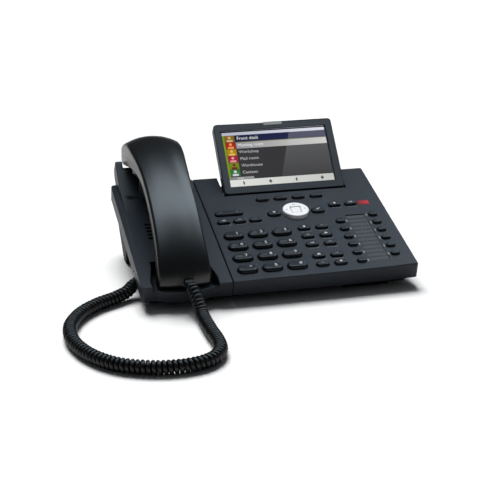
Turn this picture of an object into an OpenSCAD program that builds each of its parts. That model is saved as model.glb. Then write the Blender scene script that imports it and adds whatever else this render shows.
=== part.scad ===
// Desk telephone with a tilting colour display, a corded handset in a cradle and a sloping key face.
// Millimetres, +Z up. The ground is z = 0 and the origin is under the middle of the phone without its cord.
// "Face" coordinates lie in the sloping key face: x to the right, v up the slope, h out of the face.

/* [Body] */
// Overall width of the phone body
body_w = 228.4; // [210:0.2:250]
// Slope of the key face against the desk, in degrees
face_tilt = 14.35; // [10:0.05:20]
// Distance from the number key 5 to the front edge, along the face
face_front = 45; // [42:0.5:60]
// Distance from the number key 5 to the rear edge, along the face
face_rear = 111.8; // [108:0.1:130]
// How far the front edge bows out at the middle
front_bow = 2.5; // [0:0.5:5]
// Height of the outer rim of the covers
rim_h = 13; // [12:0.5:16]
// Thickness of the top plates
plate_t = 2.5; // [2:0.1:3]
// Thickness of the side walls
wall = 2.2; // [1.8:0.1:3]
// Height of the number key 5 above the desk
key_z = 31; // [29:0.5:40]
// Where the cradle part meets the key part, from the middle of the body
seam_x = -41.7; // [-46:0.1:-40]
// Gap at the seam between the two covers
seam_gap = 0.6; // [0.3:0.1:1]
// Depth of the base cover under the front half of the face
base_front_h = 21; // [20:0.5:26]
// Depth of the base cover under the rear half of the face
base_rear_h = 29.5; // [29:0.5:34]
// How far the base cover stands in from the rim at each side
base_inset = 8; // [6:0.5:14]

/* [Keys] */
// Sideways distance between number keys
num_pitch_x = 20.6; // [19.5:0.1:22]
// Distance between rows of number keys
num_pitch_v = 16.5; // [15:0.1:17.5]
// Width of a number key
num_w = 16.4; // [14:0.1:18]
// Depth of a number key
num_d = 9.8; // [8:0.1:11]
// Width of a small key
small_w = 10.4; // [9:0.1:11]
// Depth of a small key
small_d = 5.6; // [5:0.1:6.5]
// Gap between a key and its hole
key_gap = 0.4; // [0.3:0.05:0.6]
// Travel of every key
key_travel = 1.2; // [0.8:0.1:1.3]
// Distance between rows of line keys
line_pitch = 12.02; // [11:0.02:12.4]
// Radius of the navigation disc
nav_r = 11.4; // [10.5:0.1:12.5]

/* [Display] */
// Width of the display housing
disp_w = 108.6; // [104:0.2:112]
// Height of the display housing
disp_h = 68.8; // [64:0.2:80]
// Thickness of the display housing
disp_t = 9; // [8:0.2:10]
// Tilt of the display against the desk, in degrees
disp_tilt = 47.2; // [40:0.1:60]
// Width of the visible screen
screen_w = 95.04; // [90:0.02:97]
// Height of the visible screen
screen_h = 53.86; // [50:0.02:55]
// Radius of the display's hinge pins
hinge_pin_r = 1.5; // [1.2:0.1:2]
// Radial clearance of the hinge pins in the display
pin_clearance = 0.05; // [0.02:0.01:0.1]

/* [Handset] */
// Half width of the handset at its ends
hs_half_w = 21.4; // [20:0.1:23]
// How much narrower each side is at the grip
hs_waist = 2; // [0:0.1:4]
// Thickness of the handset's shells
hs_wall = 2.2; // [1.8:0.1:3]
// Radius of the handset's upper edges
hs_edge_r = 3.4; // [2.5:0.1:5]
// Radius of the earpiece cap
ear_cap_r = 19; // [16:0.5:19.5]

/* [Cord] */
// Outer diameter of the curly cord
curl_d = 11; // [9:0.5:11]

/* [Hidden] */

body_colour = "#3a404a";
key_colour = "#343a44";
black = "#16181b";
steel = "#b8bcc0";

// ---- Places on the face, worked out from the driving sizes ----
pad_x = -6.2;                       // number key 5 from the middle of the body
half_w = body_w / 2;
front_v = -face_front;
rear_v = face_rear;
hs_x = -79.2;                       // middle of the handset and of its cradle
nav_at = [34.8, 46.4];
soft_v = 69.6;
small_v = 38.3;
line_x = [68.6, 99.4];
strip_x = [75.6, 92.8];
strip_v = [-34.6, 35.4];
screen_up = 7.8;                    // screen's lower edge above the housing's lower edge
disp_x = 35.1;                      // middle of the display
disp_v = 81.1;                      // where the display's front meets the face
recess_gap = 0.9;
recess_front = 79.9;
recess_floor = -9.6;
disp_rel = disp_tilt - face_tilt;   // display against the face
hinge_up = 3;                       // hinge axis above the display's lower edge
hinge_back = 6.2;                   // hinge axis behind the display's front
flange_top = -plate_t - 0.4;
flange_t = 1.2;
mat_top = flange_top - flange_t - key_travel - 0.3 - 0.4;
mat_t = 1.4;
board_top = mat_top - mat_t - 0.1;
base_w = body_w - 2 * base_inset;
base_front_v = front_v + 8;
base_rear_v = rear_v - 5;
step_v = 50;                        // where the base cover gets deeper
step_run = 6;
stand_half = half_w - 4.8;
pad_t = 3;                          // thickness of the rubber pads
pocket_half = hs_half_w + 5.1;         // the pocket leaves room around the mouth end
pocket_rear = -10;
pocket_floor = -10.8;
pocket_rim = -4;
pocket_bulge = 6.3;
saddle_half = hs_half_w + 8.6;
saddle_v = 55;
saddle_top = [118, 16.8];

// The face's origin is number key 5. Its y centres the phone between its pocket and its earpiece.
front_reach = (front_v - bow(hs_x) - pocket_bulge + 2.2) * cos(face_tilt) - pocket_rim * sin(face_tilt);
rear_reach = 131.57;
key_y = -(front_reach + rear_reach) / 2;

module on_face() {
    translate([0, key_y, key_z])
        rotate([face_tilt, 0, 0])
            children();
}

// Puts a display part, drawn flat with its lower front edge on x, at its place on the face.
module on_display() {
    on_face()
        translate([disp_x, disp_v, 0.3])
            rotate([disp_rel, 0, 0])
                children();
}

// Rectangle with round corners, centred.
module round_rect(w, d, r) {
    square([w - 2 * r, d], center = true);
    square([w, d - 2 * r], center = true);
    for (sx = [-1, 1], sy = [-1, 1])
        translate([sx * (w / 2 - r), sy * (d / 2 - r)])
            circle(r, $fn = 32);
}

module slab(h0, h1) {
    translate([0, 0, h0])
        linear_extrude(h1 - h0)
            children();
}

// Outline drawn in v and h, extruded along x.
module across(x0, x1) {
    translate([x0, 0, 0])
        rotate([90, 0, 90])
            linear_extrude(x1 - x0)
                children();
}

function arc(c, r, a0, a1, n) = [for (i = [0:n]) let (a = a0 + (a1 - a0) * i / n) c + r * [cos(a), sin(a)]];

// ---- Outline of the covers ----
function bow(x) = front_bow * (1 - pow(x / half_w, 2));
function front_edge(x0, x1, inset) = [for (i = [0:10]) let (x = x0 + (x1 - x0) * i / 10)
    [x, front_v - bow(x) + inset]];
function key_outline(inset) = let (x0 = seam_x + seam_gap / 2 + inset, x1 = half_w - inset, r = 2.2 - inset / 2)
    concat(front_edge(x0, x1 - r, inset),
        arc([x1 - r, front_v - bow(x1) + inset + r], r, -80, 0, 5),
        arc([x1 - r, rear_v - inset - r], r, 0, 90, 5),
        [[x0, rear_v - inset]]);
function cradle_outline(inset) = let (x1 = seam_x - seam_gap / 2 - inset, x0 = -half_w + inset, r = 3 - inset / 2)
    concat(front_edge(x0 + r, x1, inset),
        [[x1, rear_v - inset]],
        arc([x0 + r, rear_v - inset - r], r, 90, 180, 5),
        arc([x0 + r, front_v - bow(x0) + inset + r], r, 180, 260, 5));

// ---- Key places: [x, v, width, depth] ----
num_at = [for (row = [0:3], col = [0:2])
    [pad_x + (col - 1) * num_pitch_x, (1 - row) * num_pitch_v, num_w, num_d]];
soft_at = [for (i = [0:3]) [11 + 16.1 * i, soft_v, small_w + 0.6, small_d - 0.4]];
feature_at = [for (i = [0:2]) [-30.4 + 13.8 * i, small_v, small_w, small_d]];
corner_at = [for (i = [0, 1]) [70.9 + 14.4 * i, 52.6, small_w, small_d]];
call_at = [for (row = [0:2], col = [0, 1]) [34.6 + 15.5 * col, 20 - 12.5 * row, small_w, small_d + 0.4]];
menu_at = [for (row = [0, 1], col = [0, 1]) [35.4 + 15.3 * col, -22.4 - 11.7 * row, small_w, small_d + 0.4]];
left_at = [for (i = [0:5]) [line_x[0], 26.4 - line_pitch * i, 7.6, small_d]];
right_at = [for (i = [0:5]) [line_x[1], 33 - line_pitch * i, 7.4, small_d]];
cancel_at = [[15.4, 45.7, 11.4, 7.6]];
confirm_at = [[54.2, 45.7, 11.4, 7.6]];
volume_at = [[-22.9, 51, 24, 6]];
all_keys = concat(num_at, soft_at, feature_at, corner_at, call_at, menu_at, left_at, right_at, cancel_at,
    confirm_at, volume_at);

module key_shape(k, grow = 0) {
    translate([k[0], k[1]])
        round_rect(k[2] + 2 * grow, k[3] + 2 * grow, min(k[2], k[3]) * 0.46 + grow);
}

// A set of keys: each is a cap through the face on a flange under it.
module keys(list, proud) {
    on_face()
        for (k = list) {
            slab(flange_top - 0.01, proud)
                key_shape(k);
            slab(flange_top - flange_t, flange_top)
                translate([k[0], k[1]])
                    square([k[2] + 1.6, k[3] + 1.6], center = true);
        }
}

// ---- Covers ----
module top_cover() {
    color(body_colour)
        on_face()
            difference() {
                union() {
                    difference() {
                        slab(-rim_h, 0)
                            polygon(key_outline(0));
                        slab(-rim_h - 1, -plate_t)
                            polygon(key_outline(wall));
                    }
                    translate([disp_x - disp_w / 2 - recess_gap - wall, recess_front - wall, -rim_h])
                        cube([disp_w + 2 * recess_gap + 2 * wall, rear_v - recess_front + wall, rim_h]);
                    for (p = screw_at)
                        if (p[0] > seam_x)
                            boss(p);
                }
                translate([disp_x - disp_w / 2 - recess_gap, recess_front, recess_floor])
                    cube([disp_w + 2 * recess_gap, 60, 20]);
                for (k = all_keys)
                    slab(-plate_t - 1, 1)
                        key_shape(k, key_gap);
                translate([nav_at[0], nav_at[1], -plate_t - 1])
                    cylinder(r = nav_r + key_gap, h = plate_t + 2, $fn = 64);
                translate([strip_x[0], strip_v[0], -1])
                    cube([strip_x[1] - strip_x[0], strip_v[1] - strip_v[0], 2]);
                for (l = lamp_at)
                    translate([l[0] - 0.7, l[1] - 1.6, -plate_t - 1])
                        cube([1.4, 3.2, plate_t + 2]);
                translate([message_at[0] - 5.2, message_at[1] - 2.9, -plate_t - 1])
                    cube([10.4, 5.8, plate_t + 2]);
                for (p = screw_at)
                    screw_hole(p);
                display_axis()
                    cylinder(r = hinge_pin_r, h = disp_w + 2 * pin_reach + 0.2, center = true, $fn = 32);
            }
}

// Cylinders placed here lie along the display's hinge.
module display_axis() {
    translate([disp_x, hinge_v, hinge_h])
        rotate([0, 90, 0])
            children();
}
hinge_v = disp_v + hinge_up * cos(disp_rel) + hinge_back * sin(disp_rel);
hinge_h = 0.3 + hinge_up * sin(disp_rel) - hinge_back * cos(disp_rel);
pin_reach = recess_gap + wall - 0.4; // how far a pin stands out of the display

// ---- Case screws run up from the base cover into bosses under the top plates ----
screw_at = [[-100.5, 2], [-100.5, 44], [-47.4, 0], [-47.4, 44], [-34, 66], [60.3, -31], [84, -30], [101, 65]];
screw_r = 1.5;
screw_l = 12;
screw_head_r = 2.8;
boss_r = 3;
function under(p) = p[1] > step_v ? -base_rear_h : -base_front_h;
module boss(p) {
    translate([p[0], p[1], under(p) + wall + 0.2])
        cylinder(r = boss_r, h = -under(p) - wall - 0.2 - plate_t + 0.5, $fn = 32);
}
module screw_hole(p) {
    translate([p[0], p[1], under(p)])
        cylinder(r = screw_r, h = screw_l + 3, $fn = 32);
}

// The handset's front pocket, drawn in x and v: sides that flare to the front, and a round front.
chord_v = front_v - bow(hs_x) + 2.2;
flank = [[pocket_half - 4.1, pocket_rear], [pocket_half - 3.7, -18], [pocket_half - 2.5, -25],
    [pocket_half - 1.1, -31], [pocket_half, -38]];
function pocket_flank(side, grow) = [for (q = flank)
    [hs_x + side * (q[0] + grow), q[1] + (q[1] == pocket_rear ? grow : 0)]];
function pocket_shape(grow) = let (b = pocket_bulge - 3 + grow, c = pocket_half - 2 + grow,
    r = (c * c + b * b) / (2 * b), half = asin(c / r))
    concat(pocket_flank(-1, grow),
        [[hs_x - pocket_half - grow, chord_v]],
        arc([hs_x, chord_v - b + r], r, -90 - half, -90 + half, 12),
        [[hs_x + pocket_half + grow, chord_v]],
        [for (i = [len(flank) - 1:-1:0]) pocket_flank(1, grow)[i]]);

// Profile of the saddle that carries the earpiece, in v and h.
saddle_r = (pow(saddle_top[0] - saddle_v, 2) + pow(saddle_top[1], 2)) / (2 * saddle_top[1]);
saddle_a = asin((saddle_top[0] - saddle_v) / saddle_r);
function saddle_profile(t) = concat(
    arc([saddle_v, saddle_r], saddle_r + t, -90, -90 + saddle_a, 10),
    t > 0 ? [[120, 14], [122.5, 6.5], [120.5, 3], [rear_v - 3, -rim_h]] :
        [[121, 18], [126, 7], [123.5, 1.5], [rear_v, -6], [rear_v, -rim_h]],
    [[saddle_v, -rim_h]]);
// Line just under the earpiece, which the saddle stays below.
under_ear = [[60, 33.5], [79, 31], [94, 25], [108, 18], [122, 10.5], [133, 4.5], [150, -6]];
seat_mid = [97.5, 25.4];
seat_a = -25.5;                     // slope of the earpiece's underside
cap_h = 6;                          // how far the cap stands out of the handset

module cradle_cover() {
    color(body_colour)
        on_face()
            difference() {
                union() {
                    difference() {
                        union() {
                            slab(-rim_h, 0)
                                polygon(cradle_outline(0));
                            slab(-rim_h, pocket_rim)
                                polygon(pocket_shape(3));
                        }
                        slab(-rim_h - 1, -plate_t)
                            polygon(cradle_outline(wall));
                    }
                    slab(pocket_floor - wall, -0.5)
                        polygon(pocket_shape(wall));
                    across(hs_x - saddle_half, hs_x + saddle_half)
                        polygon(saddle_profile(0));
                    ear_seat();
                    for (p = screw_at)
                        if (p[0] < seam_x)
                            boss(p);
                }
                slab(pocket_floor, 20)
                    polygon(pocket_shape(0));
                slab(pocket_rim, 5)
                    translate([hs_x - pocket_half, front_v - 20])
                        square([2 * pocket_half, 24]);
                across(hs_x - saddle_half + wall, hs_x + saddle_half - wall)
                    polygon(saddle_profile(3));
                across(hs_x - hs_half_w - 2.5, hs_x + hs_half_w + 2.5)
                    polygon(concat(under_ear, [[150, 60], [60, 60]]));
                for (i = [0:4])
                    translate([hs_x - 17, 23 + 5.2 * i, -plate_t - 1])
                        cube([34, 2.2, plate_t + 2]);
                for (p = screw_at)
                    screw_hole(p);
                hook_place()
                    cylinder(r = hook_r + 0.3, h = 60, center = true, $fn = 32);
                translate([-half_w - 1, (port_v[0] + port_v[1]) / 2, -rim_h - 1.5])
                    rotate([0, 90, 0])
                        cylinder(r = 5.6, h = 5, $fn = 48);
                translate([-base_w / 2 - 6, port_v[0] - 0.3, -base_front_h])
                    cube([21.3, port_v[1] - port_v[0] + 0.6, port_h[1] + 0.2 + base_front_h]);
                ear_place()
                    translate([0, 0, -cap_h - 0.5])
                        cylinder(r = ear_cap_r + 1, h = 30, $fn = 64);
            }
}

// Pedestal on the saddle that the ear cap rests on.
module ear_seat() {
    across(hs_x - 15, hs_x + 15)
        difference() {
            polygon([[82, 0], [82, 40], [110, 40], [110, 0]]);
            translate(seat_mid)
                rotate(seat_a)
                    translate([-40, -cap_h - 0.5])
                        square([80, 60]);
            polygon([[79, -1], [85, -1], [85, 21], [107, 10], [107, -1], [111, -1], [111, -2], [79, -2]]);
        }
}

// Underside outline of the base cover, in v and h.
function base_profile(t) = [[base_front_v + t, -rim_h - 0.3], [base_front_v + t, -base_front_h + t],
    [step_v - t / 2, -base_front_h + t], [step_v + step_run - t / 2, -base_rear_h + t],
    [base_rear_v - t, -base_rear_h + t], [base_rear_v - t, -rim_h - 0.3]];

module base_cover() {
    color(black)
        on_face()
            difference() {
                across(-base_w / 2, base_w / 2)
                    polygon(base_profile(0));
                translate([0, 0, 0.01])
                    across(-base_w / 2 + wall, base_w / 2 - wall)
                        polygon(base_profile(wall));
                slab(-rim_h - 4, 0)
                    translate([hs_x - pocket_half - 3, front_v - 5])
                        square([2 * pocket_half + 6, 42]);
                for (p = screw_at)
                    translate([p[0], p[1], under(p) - 1]) {
                        cylinder(r = screw_r + 0.2, h = 10, $fn = 32);
                        cylinder(r = screw_head_r + 0.2, h = 2.1, $fn = 32);
                    }
                translate([jack_x[0] - 0.2, base_rear_v - wall - 1, jack_h[0] - 0.2])
                    cube([jack_x[1] - jack_x[0] + 0.4, wall + 2, jack_h[1] - jack_h[0] + 0.4]);
                translate([-base_w / 2 - 1, port_v[0] - 0.2, port_h[0] - 0.2])
                    cube([wall + 2, port_v[1] - port_v[0] + 0.4, port_h[1] - port_h[0] + 0.4]);
            }
}

// ---- Clip-on wedge stand. Its foot line is level when the face slopes. ----
foot_y = [66, 80];                  // foot's front and rear, level distances from number key 5
function level(y, z) = [y * cos(face_tilt) + (z - key_z) * sin(face_tilt),
    -y * sin(face_tilt) + (z - key_z) * cos(face_tilt)];
function stand_profile(t) = [[step_v + step_run + 1 + t, -base_rear_h - 0.3],
    level(foot_y[0] + t * 0.7, pad_t + t), level(foot_y[1] - t * 0.7, pad_t + t),
    [base_rear_v - 3 - t, -base_rear_h - 0.3]];
module footstand() {
    color(black)
        on_face()
            difference() {
                across(-stand_half, stand_half)
                    polygon(stand_profile(0));
                translate([0, 0, 0.01])
                    across(-stand_half + 3, stand_half - 3)
                        polygon(stand_profile(3));
            }
}

module stand_pads() {
    color("#101113")
        translate([0, key_y, 0])
            for (s = [-1, 1])
                translate([s * (stand_half - 14) - 13.6, foot_y[0] + 0.4, 0])
                    cube([27.2, foot_y[1] - foot_y[0] - 0.8, pad_t]);
}

// Rubber bars under the front, level below and sloping with the base cover above.
front_pad_y = [-31, -20];
module front_pads() {
    color("#101113")
        difference() {
            translate([0, key_y, 0])
                for (s = [-1, 1])
                    translate([s * 73 - 19, front_pad_y[0], 0])
                        cube([38, front_pad_y[1] - front_pad_y[0], 14]);
            on_face()
                translate([-150, -80, -base_front_h])
                    cube([300, 160, 60]);
        }
}

module case_screws() {
    color(steel)
        on_face()
            for (p = screw_at)
                translate([p[0], p[1], under(p) + 0.1]) {
                    cylinder(r = screw_head_r, h = 1, $fn = 32);
                    cylinder(r = screw_r, h = screw_l, $fn = 32);
                }
}

// ---- Inside ----
module main_board() {
    color("#2f6b45")
        on_face()
            difference() {
                union() {
                    slab(board_top - 1.6, board_top)
                        polygon([[-33, -40], [108, -40], [108, 60], [100, 74], [-33, 74]]);
                    for (c = [[10, 20, 14, 14, 1.4], [45, -10, 12, 12, 1.2], [-15, -20, 18, 8, 2.4], [70, 40, 10, 16, 2]])
                        translate([c[0], c[1], board_top - 1.5 - c[4]])
                            cube([c[2], c[3], c[4]]);
                }
                for (p = screw_at)
                    translate([p[0], p[1], -30])
                        cylinder(r = boss_r + 0.5, h = 40, $fn = 32);
            }
}

module key_mat() {
    color("#8d9298")
        on_face()
            difference() {
                union() {
                    slab(mat_top - mat_t, mat_top)
                        polygon([[-38, -41], [108, -41], [108, 60], [100, 74.5], [-38, 74.5]]);
                    for (k = concat(all_keys, [[nav_at[0], nav_at[1] + 8], [nav_at[0], nav_at[1] - 8],
                            [nav_at[0] - 8, nav_at[1]], [nav_at[0] + 8, nav_at[1]], nav_at]))
                        translate([k[0], k[1], mat_top - 0.1])
                            cylinder(r = 2, h = 0.5, $fn = 24);
                }
                for (p = screw_at)
                    translate([p[0], p[1], -30])
                        cylinder(r = boss_r + 0.5, h = 40, $fn = 32);
                for (l = lamp_at)
                    translate([l[0] - 0.9, l[1] - 1.8, -20])
                        cube([1.8, 3.6, 20]);
            }
}

// ---- Line labels and lights ----
lamp_at = concat([for (i = [0:5]) [strip_x[0] - 1.4, 26.4 - line_pitch * i]],
    [for (i = [0:5]) [strip_x[1] + 1.2, 33 - line_pitch * i]]);
module label_strip() {
    color("#5a5f66")
        on_face()
            translate([strip_x[0] + 0.2, strip_v[0] + 0.2, -0.98])
                cube([strip_x[1] - strip_x[0] - 0.4, strip_v[1] - strip_v[0] - 0.4, 0.3]);
}

module label_window() {
    color("#c8d0d8", 0.4)
        on_face()
            translate([strip_x[0] + 0.2, strip_v[0] + 0.2, -0.66])
                cube([strip_x[1] - strip_x[0] - 0.4, strip_v[1] - strip_v[0] - 0.4, 0.76]);
}

module line_lights() {
    color("#c9ccd0")
        on_face()
            for (l = lamp_at)
                translate([l[0] - 0.6, l[1] - 1.5, -4])
                    cube([1.2, 3, 4.1]);
}

message_at = [97.4, 53.5];
module message_light() {
    color("#d8203a")
        on_face() {
            slab(-plate_t - 1.2, 0.3)
                translate(message_at)
                    square([10, 5.4], center = true);
            slab(-plate_t - 1.2, -plate_t - 0.2)
                translate(message_at)
                    square([10, 7.4], center = true);
        }
}

// ---- Sockets ----
jack_x = [-30, 62];
jack_h = [-base_rear_h + 2.6, -rim_h - 1];
// Network, computer and headset sockets: [x, width, height]
socket_at = [[-20, 11.8, 8.2], [-3, 11.8, 8.2], [14, 7.8, 6.6], [28, 11.8, 8.2]];
power_at = [50, 2.8, 1];
socket_depth = 12;
module rear_jacks() {
    color("#26282c")
        on_face()
            difference() {
                translate([jack_x[0], base_rear_v - 17, jack_h[0]])
                    cube([jack_x[1] - jack_x[0], 17, jack_h[1] - jack_h[0]]);
                for (s = socket_at)
                    translate([s[0] - s[1] / 2, base_rear_v - socket_depth, (jack_h[0] + jack_h[1] - s[2]) / 2])
                        cube([s[1], socket_depth + 1, s[2]]);
                translate([power_at[0], base_rear_v + 1, (jack_h[0] + jack_h[1]) / 2])
                    rotate([90, 0, 0])
                        difference() {
                            cylinder(r = power_at[1], h = 11, $fn = 48);
                            translate([0, 0, 2])
                                cylinder(r = power_at[2], h = 11, $fn = 32);
                        }
            }
}

// Socket for the handset cord, in the left wall of the base cover.
port_v = [-16, -3];
plug_w = 7.4;
plug_t = 5;
port_h = [-base_front_h + wall + 0.2, -base_front_h + wall + plug_t + 1.8];
plug_up = plug_t / 2 + 0.8;         // middle of the plug above the socket's lower face
module handset_port() {
    color("#26282c")
        on_face()
            difference() {
                translate([-base_w / 2, port_v[0], port_h[0]])
                    cube([15, port_v[1] - port_v[0], port_h[1] - port_h[0]]);
                translate([-base_w / 2 - 1, (port_v[0] + port_v[1] - plug_w) / 2 - 0.2,
                        port_h[0] + plug_up - plug_t / 2 - 0.2])
                    cube([12.4, plug_w + 0.4, plug_t + 0.4]);
            }
}

module loudspeaker() {
    color("#2a2c30")
        on_face()
            translate([hs_x, 22, -base_front_h + 2.9]) {
                translate([0, 0, 9])
                    cylinder(r = 24, h = 5.5, $fn = 64);
                translate([0, 0, 4])
                    cylinder(r = 17, h = 5.01, $fn = 48);
                cylinder(r = 12, h = 4.01, $fn = 48);
            }
}

// ---- Display ----
module display_pins() {
    color(steel)
        on_face()
            display_axis()
                for (s = [-1, 1])
                    translate([0, 0, s * (disp_w + pin_reach - 3.4) / 2])
                        cylinder(r = hinge_pin_r, h = pin_reach + 3.4, center = true, $fn = 32);
}

bezel_t = 4.4;
glass_t = 1.2;
module screen_cut(grow, n0, n1) {
    translate([-screen_w / 2 - grow - 0.3, screen_up - grow, n0])
        cube([screen_w + 2 * grow, screen_h + 2 * grow, n1 - n0]);
}

module pin_bores() {
    for (s = [-1, 1])
        translate([s * disp_w / 2, hinge_up, -hinge_back])
            rotate([0, 90, 0])
                cylinder(r = hinge_pin_r + pin_clearance, h = 8, center = true, $fn = 32);
}

module display_bezel() {
    color(body_colour)
        on_display()
            difference() {
                slab(-bezel_t, 0)
                    translate([0, disp_h / 2])
                        round_rect(disp_w, disp_h, 3);
                screen_cut(0.5, -10, 1);
                screen_cut(3, -10, -glass_t - 0.6);
                translate([-call_w / 2 - 0.2, disp_h - 3.4, -3.2])
                    cube([call_w + 0.4, 5, 5]);
                pin_bores();
            }
}

module display_back() {
    color(body_colour)
        on_display()
            difference() {
                slab(-disp_t, -bezel_t - 0.05)
                    translate([0, disp_h / 2])
                        round_rect(disp_w, disp_h, 3);
                translate([-disp_w / 2 + 10, 2, -disp_t + 1.8])
                    cube([disp_w - 20, disp_h - 4, disp_t]);
                pin_bores();
            }
}

module lcd_panel() {
    color("#202328")
        on_display()
            screen_cut(2.6, -bezel_t, -glass_t - 0.65);
}

module display_glass() {
    color("#11151c", 0.6)
        on_display()
            screen_cut(0.3, -glass_t - 0.6, -0.25);
}

call_w = 17;
module call_light() {
    color("#d5d8dc")
        on_display()
            translate([-call_w / 2, disp_h - 3.2, -3])
                cube([call_w, 3.5, 3.4]);
}

// ---- Handset: cross sections along a bowed spine ----
// Each row: top point v and h, underside point v and h, share of the waist, crown of the top.
spine = [
    [-45.4, -3, -31, -9, 0, 2.4], [-43.6, 5, -27.5, -2, 0, 2.4], [-36.8, 14.6, -23, 4.5, 0.3, 2.6],
    [-26, 23.6, -15.5, 11.8, 0.7, 2.9], [-12, 32, -3.5, 18.8, 0.95, 3.1], [5, 40, 10, 25.6, 1, 3.3],
    [25, 46, 28, 31.4, 1, 3.5], [45, 50.2, 46, 34.8, 0.85, 3.9], [65, 52.4, 63, 35, 0.4, 4.2],
    [83, 52.2, 79, 31.8, -0.3, 4.4], [100, 49.6, 94, 26.4, -0.7, 4.6], [116, 43.9, 108, 19.6, -0.8, 4.8],
    [129, 36, 122, 12.6, -0.7, 4.8], [137.6, 28.2, 132, 7.8, -0.4, 4.6], [141, 21, 137, 5.6, 0.1, 3.6]];

function smooth(p, i, t) = let (a = p[max(i - 1, 0)], b = p[i], c = p[i + 1], d = p[min(i + 2, len(p) - 1)])
    0.5 * (2 * b + (c - a) * t + (2 * a - 5 * b + 4 * c - d) * t * t + (3 * b - a - 3 * c + d) * t * t * t);
stations = [for (i = [0:len(spine) - 2], t = [0, 0.5]) smooth(spine, i, t), spine[len(spine) - 1]];

function half_width(s) = hs_half_w - hs_waist * s[4];
function height(s) = norm([s[0] - s[2], s[1] - s[3]]);
function split(s) = (height(s) - s[5]) * 0.42;

// Right half of a section, from the split to the middle: w half width, n from the underside.
function top_half(w, t, c, r, n) = concat([[w, n]],
    [for (a = [0:18:72]) [w - r + r * cos(a), max(n + 0.3, t - c - r) + r * sin(a)]],
    [for (q = [0.8, 0.6, 0.4, 0.2, 0]) [q * (w - r * 0.7), t - c * q * q]]);
function low_half(w, b, r, n) = concat([[w, n]],
    [for (a = [0:22.5:90]) [w - r + r * cos(a), min(n - 0.3, b + r) - r * sin(a)]],
    [[w * 0.5, b], [0, b]]);
function mirrored(p) = concat(p, [for (i = [len(p) - 2:-1:0]) [-p[i][0], p[i][1]]]);

function place(s, p) = let (u = [s[0] - s[2], s[1] - s[3]] / height(s))
    [for (q = p) [hs_x + q[0], s[2] + u[0] * q[1], s[3] + u[1] * q[1]]];
function top_ring(s, t) = place(s, mirrored(top_half(half_width(s) - t, height(s) - t, s[5],
    hs_edge_r - t / 2, split(s))));
function low_ring(s, t) = place(s, mirrored(low_half(half_width(s) - t, t, 2.6 - t / 2, split(s) - 0.15)));

// One shell of the handset: outer rings, and inner rings for its hollow, closed by thick ends.
module half_shell(outer, inner, upper) {
    n = len(outer) - 1;
    m = len(outer[0]) - 1;
    o = function (i, j) i * (m + 1) + j;
    k = function (i, j) (n + 1 + i) * (m + 1) + j;
    faces = concat(
        [for (i = [0:n - 1], j = [0:m - 1]) [o(i, j), o(i, j + 1), o(i + 1, j + 1)]],
        [for (i = [0:n - 1], j = [0:m - 1]) [o(i, j), o(i + 1, j + 1), o(i + 1, j)]],
        [for (i = [1:n - 2], j = [0:m - 1]) [k(i, j), k(i + 1, j), k(i + 1, j + 1)]],
        [for (i = [1:n - 2], j = [0:m - 1]) [k(i, j), k(i + 1, j + 1), k(i, j + 1)]],
        [[for (j = [m:-1:0]) o(0, j)], [for (j = [0:m]) o(n, j)]],
        [[for (j = [0:m]) k(1, j)], [for (j = [m:-1:0]) k(n - 1, j)]],
        [for (i = [1:n - 2]) [o(i, 0), o(i + 1, 0), k(i + 1, 0), k(i, 0)]],
        [for (i = [1:n - 2]) [o(i, m), k(i, m), k(i + 1, m), o(i + 1, m)]],
        [[o(0, 0), o(1, 0), k(1, 0)], [o(0, 0), k(1, 0), k(1, m)], [o(0, 0), k(1, m), o(0, m)],
            [o(0, m), k(1, m), o(1, m)]],
        [[o(n, m), o(n - 1, m), k(n - 1, m)], [o(n, m), k(n - 1, m), k(n - 1, 0)],
            [o(n, m), k(n - 1, 0), o(n, 0)], [o(n, 0), k(n - 1, 0), o(n - 1, 0)]]);
    turned = [for (f = faces) upper ? f : [for (i = [len(f) - 1:-1:0]) f[i]]];
    flat = [for (r = concat(outer, inner), q = r) q];
    polyhedron(flat, turned, convexity = 6);
}

module handset_outer() {
    color("#1c1f23")
        on_face()
            difference() {
                half_shell([for (s = stations) top_ring(s, 0)], [for (s = stations) top_ring(s, hs_wall)], true);
                translate([plug_x - plug_w / 2 - 0.3, plug_face - 4, plug_h - plug_t / 2 - 0.3])
                    cube([plug_w + 0.6, 10, plug_t + 0.6]);
                translate([plug_x - plug_w / 2 - 1.6, plug_face + 5.4, plug_h - plug_t / 2 - 1.4])
                    cube([plug_w + 3.2, 7.2, plug_t + 2.8]);
            }
}

// The inner shell, opened for the ear cap, the sound hole and the cord's socket.
module handset_inner() {
    color("#1c1f23")
        on_face()
            difference() {
                half_shell([for (s = stations) low_ring(s, 0)], [for (s = stations) low_ring(s, hs_wall)], false);
                ear_place() {
                    cylinder(r = collar_r + 0.1, h = 12, center = true, $fn = 64);
                    translate([0, 0, -cap_h])
                        cylinder(r = ear_cap_r + 0.3, h = cap_h - 0.2, $fn = 64);
                }
                mouth_place()
                    for (x = [-3, 0, 3])
                        translate([x, 0, 0])
                            cylinder(r = 0.8, h = 12, center = true, $fn = 24);
            }
}

// Local z points into the handset, square to the underside of the earpiece.
collar_r = 15.5;
module ear_place() {
    translate([hs_x, seat_mid[0], seat_mid[1]])
        rotate([seat_a, 0, 0])
            children();
}

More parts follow.
